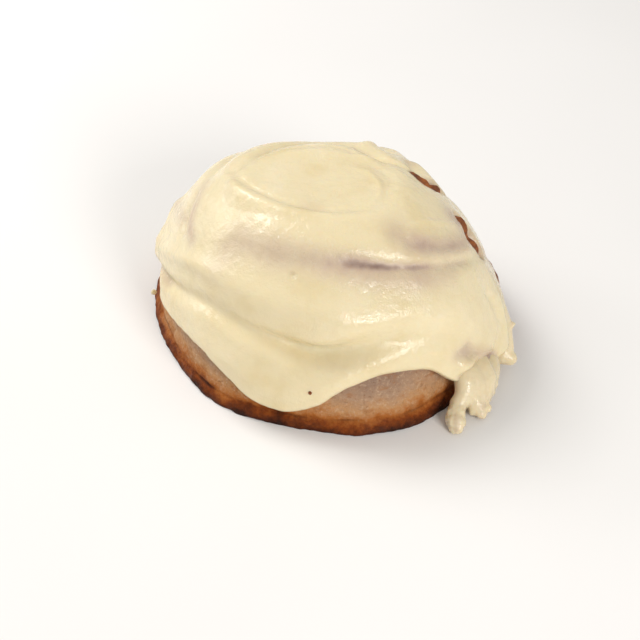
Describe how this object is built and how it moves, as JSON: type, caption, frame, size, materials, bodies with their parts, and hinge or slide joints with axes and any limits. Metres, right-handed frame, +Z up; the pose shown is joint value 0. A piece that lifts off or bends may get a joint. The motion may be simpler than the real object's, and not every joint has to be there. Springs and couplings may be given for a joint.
{
  "type": "cinnamon bun",
  "caption": "Rolled cinnamon bun with a spiral of filling and a thick, uneven coat of icing that runs down its side.",
  "frame": {"origin": "middle of the flat base", "axes": "+Z up out of the base, -Y towards the bun's front, +X to its right as seen from the front"},
  "size_m": [0.1211, 0.1064, 0.0603],
  "materials": {
    "dough": "soft baked crumb with a browned skin",
    "cinnamon_filling": "damp sugar and spice",
    "icing": "glossy cream icing"
  },
  "bodies": {
    "root": {"dough": "dough", "cinnamon_filling": "cinnamon_filling", "icing": "icing"}
  },
  "joints": []
}
